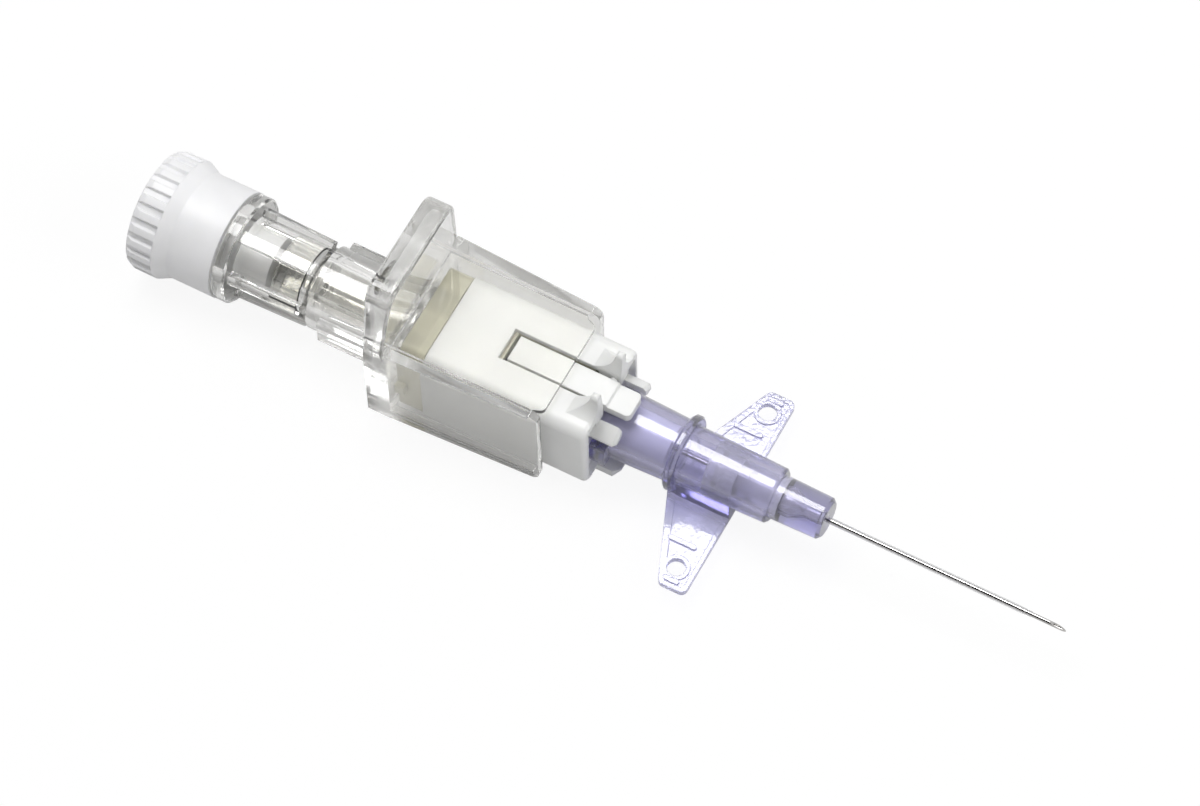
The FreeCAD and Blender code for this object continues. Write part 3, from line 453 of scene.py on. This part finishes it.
class CANNULA_OT_catheter(CannulaOperator):
    """Finish the winged catheter hub and the catheter tube"""
    bl_idname = "cannula.catheter"
    bl_label = "Catheter"

    def execute(self, context):
        coat(violet_finish("violet hub plastic"), "catheter_hub")
        tube = Finish("tube plastic")
        tube.set(Base_Color=(0.97, 0.97, 0.98, 1.0), Transmission_Weight=1.0, IOR=1.15,
                 Roughness=tube.spread(tube.noise(0.3 * MM), 0.03, 0.08))
        tube.pass_lamplight(TUBE_LAMPLIGHT)
        coat(tube, "catheter_tube")
        return {"FINISHED"}


class CANNULA_OT_valve(CannulaOperator):
    """Finish the valve, its opener and ring, and the wedge"""
    bl_idname = "cannula.valve"
    bl_label = "Valve"

    def execute(self, context):
        frosted = Finish("frosted plastic")
        clouds = frosted.noise(0.8 * MM)
        frosted.set(Base_Color=frosted.blend(clouds, (0.92, 0.92, 0.95), (0.97, 0.97, 1.0)),
                    Roughness=0.3, Transmission_Weight=0.8, IOR=1.3)
        coat(frosted, "catheter_wedge", "valve_opener", "valve_ring")
        silicone = Finish("silicone")
        clouds = silicone.noise(0.6 * MM)
        silicone.set(Base_Color=silicone.blend(clouds, (0.90, 0.90, 0.94), (0.95, 0.95, 0.98)),
                     Roughness=0.4, Transmission_Weight=0.6, IOR=1.3)
        coat(silicone, "haemostasis_valve")
        return {"FINISHED"}


class CANNULA_OT_stage(CannulaOperator):
    """Set up the floor, the lamps, the world and the camera"""
    bl_idname = "cannula.stage"
    bl_label = "Stage"

    def execute(self, context):
        settings = context.scene.cannula_stage
        self.make_floor(settings)
        self.make_world(context, settings)
        self.make_lamps()
        data = bpy.data.cameras.new("camera")
        data.lens = settings.lens
        data.sensor_width = SENSOR_WIDTH
        data.sensor_fit = "HORIZONTAL"
        data.clip_start = 0.01
        data.clip_end = 20.0
        camera = bpy.data.objects.new("camera", data)
        camera.location = settings.camera_place
        camera.rotation_euler = Euler(settings.camera_turn)
        context.scene.collection.objects.link(camera)
        context.scene.camera = camera
        context.scene.view_settings.view_transform = "Standard"
        bounces = context.scene.cycles
        bounces.max_bounces = CLEAR_BOUNCES
        bounces.glossy_bounces = GLOSSY_BOUNCES
        bounces.transmission_bounces = CLEAR_BOUNCES
        return {"FINISHED"}

    def make_floor(self, settings):
        """White paper that keeps the shadow of the cannula."""
        shape = bmesh.new()
        bmesh.ops.create_grid(shape, x_segments=1, y_segments=1, size=FLOOR_REACH)
        mesh = bpy.data.meshes.new("floor")
        shape.to_mesh(mesh)
        shape.free()
        floor = bpy.data.objects.new("floor", mesh)
        bpy.context.scene.collection.objects.link(floor)
        paper = Finish("floor paper")
        paper.set(Base_Color=(*settings.floor, 1.0), Roughness=0.9, Specular_IOR_Level=0.0)
        white = paper.node("ShaderNodeEmission", {"Color": (1.0, 1.0, 1.0, 1.0),
                                                  "Strength": WHITE_STRENGTH})
        seen = seen_share(paper, settings.glow, settings.glow_inside)
        both = paper.node("ShaderNodeMixShader", {0: seen, 1: paper.shader.outputs["BSDF"],
                                                  2: white.outputs["Emission"]})
        paper.tree.links.new(both.outputs["Shader"], paper.output.inputs["Surface"])
        mesh.materials.append(paper.material)

    def make_world(self, context, settings):
        """White all round, with a dark side that only mirrored rays show, and even light."""
        world = bpy.data.worlds.new("studio")
        world.use_nodes = True
        room = Nodes(world.node_tree)
        direction = room.node("ShaderNodeTexCoord").outputs["Generated"]
        towards = room.node("ShaderNodeVectorMath", {0: direction, 1: DARK_SIDE},
                            operation="DOT_PRODUCT").outputs["Value"]
        dark_side = room.spread(towards, settings.room, DARK_LEVEL, DARK_START, DARK_FULL)
        path = room.node("ShaderNodeLightPath")
        mirrored = room.work_out("GREATER_THAN", path.outputs["Glossy Depth"], 0.5)
        seen = room.pick(mirrored, settings.room, dark_side)
        off_matt = room.work_out("GREATER_THAN", path.outputs["Diffuse Depth"], 0.5)
        lit = room.pick(off_matt, seen, settings.ambient)
        background = room.tree.nodes["Background"]
        background.inputs["Color"].default_value = (1.0, 1.0, 1.0, 1.0)
        strength = room.pick(path.outputs["Is Camera Ray"], lit, 1.0)
        room.tree.links.new(strength, background.inputs["Strength"])
        context.scene.world = world

    def make_lamps(self):
        """Two soft lamps that point at the cannula."""
        for name, place, size, size_y, power in LAMPS:
            data = bpy.data.lights.new(name, "AREA")
            data.shape = "RECTANGLE"
            data.size = size
            data.size_y = size_y
            data.energy = power
            lamp = bpy.data.objects.new(name, data)
            lamp.location = place
            lamp.rotation_euler = (-Vector(place)).to_track_quat("-Z", "Y").to_euler()
            bpy.context.scene.collection.objects.link(lamp)


def seen_share(nodes, straight, inside):
    """Share for rays straight from the camera, or for rays off gloss or through plastic."""
    path = nodes.node("ShaderNodeLightPath")
    polished = nodes.work_out("MAXIMUM", path.outputs["Is Glossy Ray"],
                              path.outputs["Is Transmission Ray"])
    indirect = nodes.work_out("MULTIPLY", polished, inside)
    return nodes.pick(path.outputs["Is Camera Ray"], indirect, straight)


STEPS = (CANNULA_OT_clear_mouldings, CANNULA_OT_needle, CANNULA_OT_needle_hub,
         CANNULA_OT_sleeve, CANNULA_OT_guard, CANNULA_OT_cap, CANNULA_OT_catheter,
         CANNULA_OT_valve, CANNULA_OT_stage)


class CANNULA_PT_steps(bpy.types.Panel):
    """Lists the settings and the steps"""
    bl_idname = "CANNULA_PT_steps"
    bl_label = "Winged Cannula"
    bl_space_type = "VIEW_3D"
    bl_region_type = "UI"
    bl_category = "Cannula"

    def draw(self, context):
        layout = self.layout
        for name, group in SETTINGS.items():
            box = layout.box()
            box.label(text=group.__doc__)
            for setting in group.__annotations__:
                box.prop(getattr(context.scene, name), setting)
        for step in STEPS:
            layout.operator(step.bl_idname)


CLASSES = (*SETTINGS.values(), *STEPS, CANNULA_PT_steps)


def register():
    """Adds the classes and their settings to Blender."""
    for each in CLASSES:
        bpy.utils.register_class(each)
    for name, group in SETTINGS.items():
        setattr(bpy.types.Scene, name, bpy.props.PointerProperty(type=group))


def unregister():
    """Takes the classes and their settings out again."""
    for name in SETTINGS:
        delattr(bpy.types.Scene, name)
    for each in reversed(CLASSES):
        bpy.utils.unregister_class(each)


def main():
    """Finishes the cannula and sets the stage."""
    register()
    for step in STEPS:
        group, name = step.bl_idname.split(".")
        getattr(getattr(bpy.ops, group), name)()


if __name__ == "__main__":
    main()
